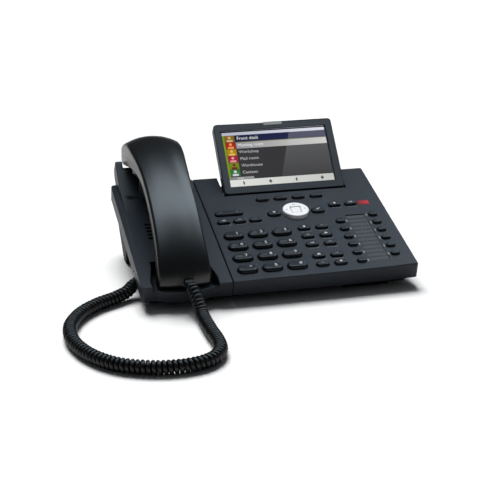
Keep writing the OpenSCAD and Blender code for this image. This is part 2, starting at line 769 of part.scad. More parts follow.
module ear_cap() {
    color("#24272c")
        on_face()
            ear_place()
                difference() {
                    union() {
                        translate([0, 0, -cap_h])
                            cylinder(r = ear_cap_r, h = cap_h - 0.4, $fn = 64);
                        translate([0, 0, -1])
                            cylinder(r = collar_r, h = 5, $fn = 64);
                    }
                    translate([0, 0, -cap_h + 1.6])
                        cylinder(r = collar_r - 1.5, h = 20, $fn = 64);
                    for (ring = [0:2], i = [0:max(1, ring * 6) - 1])
                        rotate(60 * i / max(1, ring))
                            translate([ring * 4, 0, -cap_h - 1])
                                cylinder(r = 0.9, h = 4, $fn = 24);
                }
}

module ear_speaker() {
    color("#4a4d52")
        on_face()
            ear_place() {
                translate([0, 0, -cap_h + 3])
                    cylinder(r = collar_r - 1.8, h = 5.5, $fn = 64);
                translate([0, 0, -cap_h + 8])
                    cylinder(r = 8, h = 4, $fn = 48);
            }
}

// Local z points into the handset from the inner face at the mouth end.
mouth_at = [-25.6, 0.8];
mouth_a = 60.5;
module mouth_place() {
    translate([hs_x, mouth_at[0], mouth_at[1]])
        rotate([mouth_a, 0, 0])
            children();
}

module microphone() {
    color("#4a4d52")
        on_face()
            mouth_place()
                translate([0, 0, hs_wall + 0.5])
                    cylinder(r = 4.8, h = 4.5, $fn = 48);
}

// Steel weight that keeps the handset in its cradle.
module handset_weight() {
    color(steel)
        on_face()
            translate([hs_x, 45, 39.8])
                rotate([3.5, 0, 0])
                    translate([-11, -20, -2.2])
                        cube([22, 40, 4.4]);
}

// ---- Cord, its plugs and the handset's socket ----
plug_x = hs_x + 2.5;
plug_h = 1.4;
plug_face = -47.8;
module handset_socket() {
    color("#26282c")
        on_face()
            difference() {
                translate([plug_x - plug_w / 2 - 1.4, plug_face + 5.6, plug_h - plug_t / 2 - 1.2])
                    cube([plug_w + 2.8, 6.6, plug_t + 2.4]);
                translate([plug_x - plug_w / 2 - 0.2, plug_face + 4.8, plug_h - plug_t / 2 - 0.2])
                    cube([plug_w + 0.4, 6.2, plug_t + 0.4]);
            }
}

module cord_plug_handset() {
    color(black)
        on_face()
            translate([plug_x - plug_w / 2, plug_face, plug_h - plug_t / 2])
                cube([plug_w, 10, plug_t]);
}

module cord_plug_base() {
    color(black)
        on_face()
            translate([-base_w / 2 - 5.2, (port_v[0] + port_v[1] - plug_w) / 2, port_h[0] + plug_up - plug_t / 2])
                cube([16, plug_w, plug_t]);
}

// Route of the curly cord from the handset to the base: x, y, z and its radius there.
route = [[-76.7, -88.8, 20.4, 3.7], [-76.2, -93, 19.4, 4.6], [-75.4, -98.4, 17.2, 5], [-74.3, -103.6, 13.8, 5],
    [-73.6, -109.4, 9.6, 5], [-73.2, -117.2, 6.1, 5], [-73.2, -128.8, 5.6, 5], [-72.9, -146.8, 5.5, 5],
    [-72.1, -165.4, 5.5, 5], [-74.1, -182.9, 5.5, 5], [-82.6, -195.9, 5.5, 5], [-96.2, -202.6, 5.5, 5],
    [-113.9, -203.8, 5.5, 5], [-132.7, -199.4, 5.5, 5], [-151.5, -188.5, 5.5, 5], [-166.3, -168.9, 5.5, 5],
    [-174.7, -143.2, 5.5, 5], [-174.8, -119, 5.5, 5], [-169.4, -101.4, 5.5, 5], [-160, -86, 5.5, 5],
    [-146.4, -73, 5.5, 5], [-132.8, -64.8, 5.7, 5], [-122.5, -58, 7, 5], [-117.2, -52.8, 9.2, 4.9],
    [-114, -49.6, 11.2, 4.2], [-111.4, -47.3, 13.7, 3.7]];
cord_sides = 10;
function unit(a) = a / norm(a);
function xyz(p) = [p[0], p[1], p[2]];
function heading(i) = i == 0 ? [0, -cos(face_tilt), -sin(face_tilt)] : i == len(route) - 1 ? [1, 0, 0] :
    unit(xyz(route[i + 1]) - xyz(route[i - 1]));
module handset_cord() {
    last = len(route) - 1;
    rings = [for (i = [0:last]) let (t = unit(heading(i)), side = unit(cross(t, [0, 0, 1])), up = cross(side, t))
        for (k = [0:cord_sides - 1]) let (a = 360 * k / cord_sides)
            xyz(route[i]) + route[i][3] * curl_d / 10 * (side * cos(a) + up * sin(a))];
    color(black)
        polyhedron(rings, concat(
            [[for (k = [0:cord_sides - 1]) k]],
            [for (i = [0:last - 1], k = [0:cord_sides - 1]) let (b = i * cord_sides, n = (k + 1) % cord_sides)
                [b + k, b + cord_sides + k, b + cord_sides + n, b + n]],
            [[for (k = [cord_sides - 1:-1:0]) last * cord_sides + k]]));
}

// ---- Hook switch: rises straight up out of the seat as the handset is lifted ----
hook_v = 97;
hook_top = 16.5;
hook_r = 3;
module hook_place() {
    translate([hs_x, hook_v, 0])
        rotate([-face_tilt, 0, 0])
            children();
}
module hook_plunger() {
    color("#24272c")
        on_face()
            hook_place() {
                translate([0, 0, -3.6])
                    cylinder(r = hook_r, h = hook_top + 3.6, $fn = 32);
                translate([0, 0, -3.6])
                    cylinder(r = hook_r + 1.8, h = 1.6, $fn = 32);
            }
}

// ---- Keys ----
num_proud = 2.8;
small_proud = 2.1;
module key_1() { color(key_colour) keys([num_at[0]], num_proud); }
module key_2() { color(key_colour) keys([num_at[1]], num_proud); }
module key_3() { color(key_colour) keys([num_at[2]], num_proud); }
module key_4() { color(key_colour) keys([num_at[3]], num_proud); }
module key_5() { color(key_colour) keys([num_at[4]], num_proud); }
module key_6() { color(key_colour) keys([num_at[5]], num_proud); }
module key_7() { color(key_colour) keys([num_at[6]], num_proud); }
module key_8() { color(key_colour) keys([num_at[7]], num_proud); }
module key_9() { color(key_colour) keys([num_at[8]], num_proud); }
module key_star() { color(key_colour) keys([num_at[9]], num_proud); }
module key_0() { color(key_colour) keys([num_at[10]], num_proud); }
module key_hash() { color(key_colour) keys([num_at[11]], num_proud); }
module cancel_key() { color(key_colour) keys(cancel_at, small_proud); }
module confirm_key() { color(key_colour) keys(confirm_at, small_proud); }
module volume_key() { color(key_colour) keys(volume_at, small_proud); }
module soft_keys() { color(key_colour) keys(soft_at, small_proud); }
module feature_keys() { color(key_colour) keys(feature_at, small_proud); }
module corner_keys() { color(key_colour) keys(corner_at, small_proud); }
module call_keys() { color(key_colour) keys(call_at, small_proud); }
module menu_keys() { color(key_colour) keys(menu_at, small_proud); }
module line_keys_left() { color(key_colour) keys(left_at, small_proud); }
module line_keys_right() { color(key_colour) keys(right_at, small_proud); }

ok_w = 8.4;
nav_proud = 2.8;
module nav_ring() {
    color("#eceef0")
        on_face()
            difference() {
                translate([nav_at[0], nav_at[1], flange_top - flange_t])
                    union() {
                        cylinder(r = nav_r, h = nav_proud - flange_top + flange_t, $fn = 64);
                        cylinder(r = nav_r + 0.8, h = flange_t, $fn = 64);
                    }
                slab(-20, 20)
                    translate(nav_at)
                        square(ok_w + 0.8, center = true);
            }
}

module ok_key() {
    color("#f2f4f6")
        on_face()
            slab(flange_top - flange_t, nav_proud - 0.3)
                translate(nav_at)
                    square(ok_w, center = true);
}

top_cover();
cradle_cover();
base_cover();
footstand();
stand_pads();
front_pads();
case_screws();
main_board();
key_mat();
label_strip();
label_window();
line_lights();
message_light();
rear_jacks();
handset_port();
loudspeaker();
display_pins();
display_bezel();
display_back();
lcd_panel();
display_glass();
call_light();
handset_outer();
handset_inner();
ear_cap();
ear_speaker();
microphone();
handset_socket();
handset_weight();
handset_cord();
cord_plug_base();
cord_plug_handset();
hook_plunger();
key_1();
key_2();
key_3();
key_4();
key_5();
key_6();
key_7();
key_8();
key_9();
key_star();
key_0();
key_hash();
nav_ring();
ok_key();
cancel_key();
confirm_key();
volume_key();
soft_keys();
feature_keys();
corner_keys();
call_keys();
menu_keys();
line_keys_left();
line_keys_right();
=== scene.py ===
import math

import bmesh
import bpy
from bpy.props import FloatProperty, FloatVectorProperty, IntProperty, PointerProperty
from mathutils import Matrix, Vector


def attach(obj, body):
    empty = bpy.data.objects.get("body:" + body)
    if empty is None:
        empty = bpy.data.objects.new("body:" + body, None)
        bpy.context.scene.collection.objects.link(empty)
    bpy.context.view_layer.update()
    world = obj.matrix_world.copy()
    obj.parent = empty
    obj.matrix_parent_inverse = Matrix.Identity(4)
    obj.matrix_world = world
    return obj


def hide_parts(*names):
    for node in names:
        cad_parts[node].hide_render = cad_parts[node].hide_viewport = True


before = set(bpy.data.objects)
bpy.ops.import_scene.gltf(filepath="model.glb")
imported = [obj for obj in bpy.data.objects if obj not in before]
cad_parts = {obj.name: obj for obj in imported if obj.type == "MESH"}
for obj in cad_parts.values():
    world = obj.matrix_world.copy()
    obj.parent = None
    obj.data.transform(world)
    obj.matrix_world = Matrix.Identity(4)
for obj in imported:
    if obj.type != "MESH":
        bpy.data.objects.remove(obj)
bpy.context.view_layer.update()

bl_info = {
    "name": "Desk telephone",
    "version": (1, 0, 0),
    "blender": (4, 5, 0),
    "location": "3D View > Sidebar > Telephone",
    "description": "Builds a desk telephone with a tilting display, keys, a corded handset and its finishes",
    "category": "Add Mesh",
}

MM = 0.001


# ---- Places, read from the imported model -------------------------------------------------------

def slope(node):
    """Angle against the desk of a node's largest face that looks up."""
    best = max(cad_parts[node].data.polygons, key=lambda p: p.area if p.normal.z > 0.1 else 0)
    return math.atan2(-best.normal.y, best.normal.z)


FACE = Matrix.Rotation(slope("label_window"), 4, "X")      # the key face laid level
SCREEN = Matrix.Rotation(slope("display_glass"), 4, "X")   # the display laid level


def reach(node, turn=FACE):
    """Lowest and highest corners of a node in a turned frame."""
    points = [turn.inverted() @ v.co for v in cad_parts[node].data.vertices]
    return (Vector([min(p[i] for p in points) for i in range(3)]),
            Vector([max(p[i] for p in points) for i in range(3)]))


def merged(node):
    """A copy of a CAD node's mesh with its loose triangles joined into whole faces."""
    bm = bmesh.new()
    bm.from_mesh(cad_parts[node].data)
    bmesh.ops.remove_doubles(bm, verts=bm.verts, dist=2e-6)
    bmesh.ops.dissolve_limit(bm, angle_limit=math.radians(0.6), verts=bm.verts, edges=bm.edges)
    return bm


def islands(bm):
    """Groups of vertices that hang together."""
    left, groups = set(bm.verts), []
    while left:
        stack, group = [left.pop()], []
        while stack:
            v = stack.pop()
            group.append(v)
            for e in v.link_edges:
                w = e.other_vert(v)
                if w in left:
                    left.remove(w)
                    stack.append(w)
        groups.append(group)
    return groups


def cap_tops(node):
    """Centre, width and depth of each key's top, from the rear left to the front right, on the level face."""
    bm = merged(node)
    bm.transform(FACE.inverted())
    tops = []
    for group in islands(bm):
        high = max(v.co.z for v in group)
        top = [v.co for v in group if v.co.z > high - 0.2 * MM]
        lo = Vector([min(p[i] for p in top) for i in range(3)])
        hi = Vector([max(p[i] for p in top) for i in range(3)])
        tops.append(((lo + hi) / 2, hi.x - lo.x, hi.y - lo.y))
    bm.free()
    return sorted(tops, key=lambda t: (-round(t[0].y, 4), t[0].x))


# ---- Sizes and colours that a user may change ---------------------------------------------------

def linear(code):
    """sRGB hex code to linear red, green and blue."""
    values = [int(code[i:i + 2], 16) / 255 for i in (1, 3, 5)]
    return tuple(v / 12.92 if v <= 0.04045 else ((v + 0.055) / 1.055) ** 2.4 for v in values)


def colour(name, description, code):
    return FloatVectorProperty(name=name, description=description, subtype="COLOR", size=3, min=0, max=1,
                               default=linear(code))


def length(name, description, mm, low=0.0, high=100.0):
    return FloatProperty(name=name, description=description, default=mm * MM, min=low * MM, max=high * MM,
                         subtype="DISTANCE", unit="LENGTH", precision=5)


class PhoneSizes(bpy.types.PropertyGroup):
    cover_edge: length("Cover edge", "Radius of the covers' outer edges", 1.3)
    hole_edge: length("Hole edge", "Radius of the edges of the key holes", 0.35)
    trim_edge: length("Trim edge", "Radius of the edges of small mouldings", 0.4)
    key_crown: length("Key crown", "Width of the rounding on top of a number key", 2.3)
    small_crown: length("Small key crown", "Width of the rounding on top of a small key", 1.5)
    digit_height: length("Digit height", "Height of the printed digits", 3.3)
    letter_height: length("Letter height", "Height of the printed letters", 1.7)
    print_lift: length("Print lift", "Thickness of printed marks", 0.03)
    wire: length("Cord wire", "Diameter of the wire in the curly cord", 3.55)
    curl: length("Curl", "Outer diameter of the curly cord", 11)
    curl_pitch: length("Curl pitch", "Distance between the turns of the curly cord", 3.7)
    curl_steps: IntProperty(name="Curl steps", description="Points in one turn of the curly cord", default=12,
                            min=8, max=24)


class PhoneColours(bpy.types.PropertyGroup):
    body: colour("Body", "Dark blue-grey ABS of the covers", "#1f232a")
    key: colour("Keys", "Dark blue-grey ABS of the keys", "#191d23")
    handset: colour("Handset", "Near-black ABS of the handset", "#08090b")
    base: colour("Base", "Near-black ABS of the base and stand", "#0f1012")
    disc: colour("Disc", "Silver-white lacquer of the navigation disc", "#f0f2f5")
    legend: colour("Legend", "Pad-printed white of digits and marks", "#d8dbde")
    caption: colour("Caption", "Pad-printed grey of captions", "#62676e")
    cord: colour("Cord", "Black polyurethane jacket", "#060607")


# ---- Materials -----------------------------------------------------------------------------------

def add(tree, kind, settings=None, links=None):
    """Adds a node, sets its properties or sockets and links its sockets from other nodes' outputs."""
    node = tree.nodes.new(kind)
    for key, value in (settings or {}).items():
        if isinstance(key, str) and hasattr(node, key):
            setattr(node, key, value)
        else:
            node.inputs[key].default_value = value
    for key, source in (links or {}).items():
        tree.links.new(source, node.inputs[key])
    return node


def surface(name, rgb, roughness, settings=None, mottle=0.12, grain_mm=0.8, bump=0.05, rough_spread=0.06,
            stretch=(1, 1, 1)):
    """A moulded or painted surface: slight colour drift, a moulded grain and uneven gloss."""
    mat = bpy.data.materials.new(name)
    mat.use_nodes = True
    tree = mat.node_tree
    tree.nodes.clear()
    out = add(tree, "ShaderNodeOutputMaterial")
    where = add(tree, "ShaderNodeTexCoord")
    laid = add(tree, "ShaderNodeMapping", {"Scale": stretch}, {"Vector": where.outputs["Object"]})
    drift = add(tree, "ShaderNodeTexNoise", {"Scale": 28.0, "Detail": 3.0}, {"Vector": laid.outputs[0]})
    grain = add(tree, "ShaderNodeTexNoise", {"Scale": 1000 / grain_mm / 2, "Detail": 2.0, "Roughness": 0.6},
                {"Vector": laid.outputs[0]})
    dark = tuple(c * (1 - mottle) for c in rgb) + (1,)
    light = tuple(min(1, c * (1 + mottle)) for c in rgb) + (1,)
    blend = add(tree, "ShaderNodeMix", {"data_type": "RGBA", 6: dark, 7: light}, {0: drift.outputs["Fac"]})
    gloss = add(tree, "ShaderNodeMapRange",
                {"To Min": roughness - rough_spread, "To Max": roughness + rough_spread},
                {"Value": grain.outputs["Fac"]})
    relief = add(tree, "ShaderNodeBump", {"Strength": bump, "Distance": 0.4 * MM},
                 {"Height": grain.outputs["Fac"]})
    shader = add(tree, "ShaderNodeBsdfPrincipled", settings,
                 {"Base Color": blend.outputs[2], "Roughness": gloss.outputs[0], "Normal": relief.outputs[0]})
    tree.links.new(shader.outputs[0], out.inputs[0])
    mat.diffuse_color = tuple(rgb) + (1,)
    return mat


def clear(name, roughness, ior):
    """A thin clear sheet: light goes straight through, and a share of it is reflected at the surface."""
    mat = bpy.data.materials.new(name)
    mat.use_nodes = True
    tree = mat.node_tree
    tree.nodes.clear()
    share = add(tree, "ShaderNodeFresnel", {"IOR": ior})
    through = add(tree, "ShaderNodeBsdfTransparent")
    mirror = add(tree, "ShaderNodeBsdfGlossy", {"Roughness": roughness})
    mixed = add(tree, "ShaderNodeMixShader", None,
                {0: share.outputs[0], 1: through.outputs[0], 2: mirror.outputs[0]})
    add(tree, "ShaderNodeOutputMaterial", None, {0: mixed.outputs[0]})
    return mat


def glow(name, code, strength, roughness=0.9, level=0.0, far_code=None, along=None):
    """A lit area: it shines in its own colour, and drifts to a second colour along one axis."""
    mat = bpy.data.materials.new(name)
    mat.use_nodes = True
    tree = mat.node_tree
    shader = tree.nodes["Principled BSDF"]
    rgb = linear(code) + (1,)
    shader.inputs["Base Color"].default_value = (0.01, 0.01, 0.012, 1)
    shader.inputs["Roughness"].default_value = roughness
    shader.inputs["Specular IOR Level"].default_value = level
    shader.inputs["Emission Color"].default_value = rgb
    shader.inputs["Emission Strength"].default_value = strength
    if far_code:
        where = add(tree, "ShaderNodeTexCoord")
        split = add(tree, "ShaderNodeSeparateXYZ", None, {0: where.outputs["Object"]})
        ramp = add(tree, "ShaderNodeMapRange", {"From Min": along[1], "From Max": along[2]},
                   {"Value": split.outputs[along[0]]})
        mix = add(tree, "ShaderNodeMix", {"data_type": "RGBA", 6: rgb, 7: linear(far_code) + (1,)},
                  {0: ramp.outputs[0]})
        tree.links.new(mix.outputs[2], shader.inputs["Emission Color"])
    mat.diffuse_color = rgb
    return mat


def make_materials(c):
    """Every finish of the telephone, by the part it is on."""
    m = {}
    abs_dull = {"IOR": 1.53, "Specular IOR Level": 0.25}
    # Injection-moulded ABS, spark-eroded: an even, dull sheen. The real 0.2 mm grain is drawn at 0.9 mm.
    m["body"] = surface("abs_spark_grain_blue_grey", c.body, 0.46, abs_dull, grain_mm=0.9, bump=0.10)
    # Silk-moulded ABS, finer than the covers: key tops catch a small soft highlight.
    m["key"] = surface("abs_silk_moulded_keys", c.key, 0.34, abs_dull, grain_mm=0.7, bump=0.05)
    # Satin-moulded black ABS: one broad soft highlight along the crown.
    m["handset"] = surface("abs_satin_black", c.handset, 0.34, {"IOR": 1.53, "Specular IOR Level": 0.5},
                           mottle=0.08, grain_mm=1.0, bump=0.03, rough_spread=0.03)
    # Coarse moulded ABS of the hidden underside: dull near-black.
    m["base"] = surface("abs_coarse_black", c.base, 0.6, abs_dull, grain_mm=1.2, bump=0.14)
    # Lacquered polycarbonate: a smooth near-white with a faint metallic bloom.
    m["disc"] = surface("pc_silver_white_lacquer", c.disc, 0.38,
                        {"IOR": 1.5, "Coat Weight": 0.15, "Coat Roughness": 0.2}, mottle=0.02, bump=0.02)
    # Pad-printing ink: a thin flat film, slightly chalky.
    m["legend"] = surface("pad_print_white", c.legend, 0.55, {"IOR": 1.5}, mottle=0.04, bump=0.02)
    m["caption"] = surface("pad_print_grey", c.caption, 0.55, {"IOR": 1.5}, mottle=0.04, bump=0.02)
    m["arrow"] = surface("pad_print_dark", linear("#5a5e66"), 0.5, {"IOR": 1.5}, mottle=0.04, bump=0.02)
    # Clear red polycarbonate lens, lit from inside near its right end: dark red that drifts to a bright red.
    lens_lo, lens_hi = reach("message_light")
    m["lens"] = glow("pc_clear_red_lens", "#74101a", 0.9, 0.3, 0.25, "#c0202f", (0, lens_lo.x, lens_hi.x))
    # Frosted polycarbonate light pipe: milky grey when dark.
    m["pipe"] = surface("pc_frosted_light_pipe", linear("#6f757c"), 0.4,
                        {"IOR": 1.58, "Transmission Weight": 0.2}, mottle=0.05, bump=0.04)
    # Silver-tinted polycarbonate of the call light, dull between metal and glass.
    m["tab"] = surface("pc_silver_light_tab", linear("#a9a8a5"), 0.4, {"IOR": 1.5, "Metallic": 0.1},
                       mottle=0.05, bump=0.02)
    # Printed card under a clear sheet: plain matt, in two greys.
    m["card"] = surface("card_grey_printed", linear("#121315"), 0.75, {"IOR": 1.5}, mottle=0.04, grain_mm=0.9,
                        bump=0.05)
    m["card_light"] = surface("card_light_printed", linear("#33363a"), 0.75, {"IOR": 1.5}, mottle=0.04,
                              grain_mm=0.9, bump=0.05)
    # Vulcanised rubber, very dull and dark, and moulded silicone of the key mat, matt grey.
    m["rubber"] = surface("rubber_vulcanised_black", linear("#131416"), 0.85, {"IOR": 1.52}, bump=0.15)
    m["silicone"] = surface("silicone_moulded_grey", linear("#83888f"), 0.6, {"IOR": 1.41}, bump=0.08)
    # Zinc-plated steel: grey metal with fine drawn lines.
    m["steel"] = surface("steel_zinc_plated", linear("#b9bcc0"), 0.32, {"Metallic": 1.0}, mottle=0.05,
                         grain_mm=0.8, bump=0.05, stretch=(1, 1, 0.15))
    # Glass-fibre circuit board under green solder lacquer: satin green with an uneven tone.
    m["board"] = surface("fr4_green_lacquer", linear("#23593a"), 0.35, {"IOR": 1.52}, mottle=0.18, bump=0.05)
    # Polyurethane cord jacket, extruded: smooth black with a small soft highlight on each turn.
    m["cord"] = surface("pu_extruded_black", c.cord, 0.38, {"IOR": 1.5, "Specular IOR Level": 0.35},
                        mottle=0.1, grain_mm=1.2, bump=0.03)
    # Coated screen glass and the clear sheet over the labels: see-through, with little reflected light.
    m["glass"] = clear("glass_coated_screen", 0.05, 1.12)
    m["sheet"] = clear("pmma_clear_sheet", 0.3, 1.06)
    # Printed black mask around and under the picture.
    m["black_mask"] = surface("screen_black_mask", linear("#0b0c0e"), 0.3, {"IOR": 1.5}, bump=0.0)
    return m


MATS = {}


def dress(node, key):
    """Gives a carried-over CAD node its finish."""
    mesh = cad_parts[node].data
    mesh.materials.clear()
    mesh.materials.append(MATS[key])


# ---- Making pieces -------------------------------------------------------------------------------

HARD = 0.9    # two faces that meet at more than this angle, in radians, have a hard edge between them


def round_edges(bm, edges, radius, segments):
    """Rounds the given edges with a quarter circle."""
    bmesh.ops.bevel(bm, geom=edges, offset=radius, offset_type="OFFSET", segments=segments, profile=0.5,
                    affect="EDGES", clamp_overlap=False, material=-1)


def ease(bm, offset, segments, wanted=lambda a, b: True, angle=25):
    """Rounds the outward edges that lie between an upward face and a steeper one."""
    edges = []
    for e in bm.edges:
        if len(e.link_faces) != 2 or not e.is_convex or e.calc_face_angle(0) < math.radians(angle):
            continue
        if max(f.normal.z for f in e.link_faces) < 0.5:
            continue
        if wanted(e.verts[0].co, e.verts[1].co):
            edges.append(e)
    if edges:
        round_edges(bm, edges, offset, segments)


def piece(bm, name, body, keys, node=None, smooth=38, weighted=True):
    """Turns a bmesh into a finished object that rides on a body."""
    mesh = bpy.data.meshes.new(name)
    bm.to_mesh(mesh)
    bm.free()
    obj = bpy.data.objects.new(name, mesh)
    bpy.context.scene.collection.objects.link(obj)
    for key in keys:
        mesh.materials.append(MATS[key])
    mesh.polygons.foreach_set("use_smooth", [True] * len(mesh.polygons))
    mesh.set_sharp_from_angle(angle=math.radians(smooth))
    if weighted:
        obj.modifiers.new("Even shading", "WEIGHTED_NORMAL").keep_sharp = True
    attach(obj, body)
    if node:
        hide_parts(node)
    return obj


def add_plate(bm, matrix, wide, deep, height, radius=0.0, mat=0):
    """A flat plate, with round corners if it has a radius, standing on the matrix's origin."""
    made = bmesh.ops.create_grid(bm, x_segments=1, y_segments=1, size=0.5)["verts"]
    bmesh.ops.scale(bm, vec=(wide, deep, 1), verts=made)
    faces = {f for v in made for f in v.link_faces}
    if radius > 0:
        cut = bmesh.ops.bevel(bm, geom=made, offset=radius, offset_type="OFFSET", segments=4, profile=0.5,
                              affect="VERTICES", material=-1)
        made = list(set(cut["verts"]))
        faces = {f for v in made for f in v.link_faces}
    lifted = bmesh.ops.extrude_face_region(bm, geom=list(faces), use_keep_orig=False)["geom"]
    top = [g for g in lifted if isinstance(g, bmesh.types.BMVert)]
    bmesh.ops.translate(bm, vec=(0, 0, height), verts=top)
    whole = set(top) | {v for v in made if v.is_valid}
    bmesh.ops.transform(bm, matrix=matrix, verts=list(whole))
    for f in {f for v in whole for f in v.link_faces}:
        f.material_index = mat


def at(turn, x, v, h):
    """A place given in a level frame, with that frame's turn."""
    return turn @ Matrix.Translation((x, v, h))


CAPITAL = 0.69    # height of a capital letter, as a share of the font's size


def add_text(bm, words, matrix, height, mat=0, align="CENTER", thick=0.03 * MM):
    """Raised print: letters of a given cap height, centred on the matrix's origin."""
    curve = bpy.data.curves.new("print", "FONT")
    curve.body = words
    curve.size = height / CAPITAL
    curve.align_x = align
    curve.align_y = "CENTER"
    curve.resolution_u = 3
    curve.extrude = thick / 2
    holder = bpy.data.objects.new("print", curve)
    bpy.context.scene.collection.objects.link(holder)
    bpy.context.view_layer.update()
    mesh = bpy.data.meshes.new_from_object(holder.evaluated_get(bpy.context.evaluated_depsgraph_get()))
    mesh.transform(matrix @ Matrix.Translation((0, 0, thick / 2)))
    before = set(bm.faces)
    bm.from_mesh(mesh)
    for f in set(bm.faces) - before:
        f.material_index = mat
    bpy.data.objects.remove(holder)
    bpy.data.curves.remove(curve)
    bpy.data.meshes.remove(mesh)


# ---- Operators -----------------------------------------------------------------------------------

CAMERA_PLACE = (-0.2716, -1.05437, 0.3998)
CAMERA_RIGHT, CAMERA_UP = Vector((0.9698, -0.2440, 0)), Vector((0.0818, 0.3254, 0.9420))
CAMERA_LENS = 97.48
DIFFUSER_HEIGHT = 1.15


class PHONE_OT_stage(bpy.types.Operator):
    """Sets the camera, the pale floor and the soft studio lights"""
    bl_idname = "phone.stage"
    bl_label = "Stage"

    def execute(self, context):
        scene = context.scene
        cam = bpy.data.cameras.new("camera")
        cam.lens, cam.sensor_width, cam.clip_end = CAMERA_LENS, 36, 50
        holder = bpy.data.objects.new("camera", cam)
        right = CAMERA_RIGHT.normalized()
        back = right.cross(CAMERA_UP).normalized()
        turn = Matrix((right, back.cross(right), back)).transposed().to_4x4()
        holder.matrix_world = Matrix.Translation(CAMERA_PLACE) @ turn
        scene.collection.objects.link(holder)
        scene.camera = holder

        bm = bmesh.new()
        bmesh.ops.create_grid(bm, x_segments=1, y_segments=1, size=12)
        mesh = bpy.data.meshes.new("floor")
        bm.to_mesh(mesh)
        bm.free()
        floor = bpy.data.objects.new("floor", mesh)
        mesh.materials.append(surface("floor_white_paper", (0.9, 0.9, 0.9), 0.9, mottle=0.0, bump=0.0))
        scene.collection.objects.link(floor)

        scene.view_settings.view_transform = "Standard"
        world = bpy.data.worlds.new("studio")
        world.use_nodes = True
        world.node_tree.nodes["Background"].inputs[0].default_value = (0.92, 0.96, 1.0, 1)
        world.node_tree.nodes["Background"].inputs[1].default_value = 0.05
        scene.world = world

        def lamp(name, kind, place, target, mirrored, **settings):
            """A light that is seen only in gloss, when it is mirrored, or else only as diffuse light."""
            data = bpy.data.lights.new(name, kind)
            for key, value in settings.items():
                setattr(data, key, value)
            obj = bpy.data.objects.new(name, data)
            obj.visible_glossy, obj.visible_diffuse = mirrored, not mirrored
            aim = (Vector(target) - Vector(place)).to_track_quat("-Z", "Y")
            obj.matrix_world = Matrix.Translation(place) @ aim.to_matrix().to_4x4()
            scene.collection.objects.link(obj)

        # Two diffusers over the phone, seen in its gloss, and the even light of the room from the rear.
        for name, x, y, wide, deep, energy in (("diffuser_overhead", -0.08, 0.12, 1.35, 0.68, 14.0),
                                               ("diffuser_right", 1.05, 0.5, 0.9, 1.0, 13.5)):
            lamp(name, "AREA", (x, y, DIFFUSER_HEIGHT), (x, y, 0), True, shape="RECTANGLE", size=wide,
                 size_y=deep, energy=energy, color=(0.76, 0.9, 1.0))
        lamp("room_light", "SUN", (0.0, 0.62, 0.8), (0, 0, 0), False, angle=math.radians(35), energy=4.7)
        return {"FINISHED"}


# Route of the curly cord from the handset to the base, in millimetres: x, y, z and the radius of the curl.
CORD_ROUTE = [
    (-76.7, -88.8, 20.4, 3.7), (-76.2, -93, 19.4, 4.6), (-75.4, -98.4, 17.2, 5), (-74.3, -103.6, 13.8, 5),
    (-73.6, -109.4, 9.6, 5), (-73.2, -117.2, 6.1, 5), (-73.2, -128.8, 5.6, 5), (-72.9, -146.8, 5.5, 5),
    (-72.1, -165.4, 5.5, 5), (-74.1, -182.9, 5.5, 5), (-82.6, -195.9, 5.5, 5), (-96.2, -202.6, 5.5, 5),
    (-113.9, -203.8, 5.5, 5), (-132.7, -199.4, 5.5, 5), (-151.5, -188.5, 5.5, 5), (-166.3, -168.9, 5.5, 5),
    (-174.7, -143.2, 5.5, 5), (-174.8, -119, 5.5, 5), (-169.4, -101.4, 5.5, 5), (-160, -86, 5.5, 5),
    (-146.4, -73, 5.5, 5), (-132.8, -64.8, 5.7, 5), (-122.5, -58, 7, 5), (-117.2, -52.8, 9.2, 4.9),
    (-114, -49.6, 11.2, 4.2), (-111.4, -47.3, 13.7, 3.7)]


def smooth_route(step):
    """Evenly spaced points along the route, each with the radius of the curl there, in metres."""
    raw = [Vector(p) * MM for p in CORD_ROUTE]
    dense = []
    for i in range(len(raw) - 1):
        a, b, c, d = raw[max(i - 1, 0)], raw[i], raw[i + 1], raw[min(i + 2, len(raw) - 1)]
        for k in range(40):
            t = k / 40
            dense.append(0.5 * (2 * b + (c - a) * t + (2 * a - 5 * b + 4 * c - d) * t ** 2
                                + (3 * b - a - 3 * c + d) * t ** 3))
    dense.append(raw[-1])
    gone = [0.0]
    for p, q in zip(dense, dense[1:]):
        gone.append(gone[-1] + (q.xyz - p.xyz).length)
    count = int(gone[-1] / step)
    points, k = [], 0
    for n in range(count + 1):
        s = gone[-1] * n / count
        while k < len(gone) - 2 and gone[k + 1] < s:
            k += 1
        points.append(dense[k].lerp(dense[k + 1], (s - gone[k]) / max(gone[k + 1] - gone[k], 1e-9)))
    return points, gone[-1]


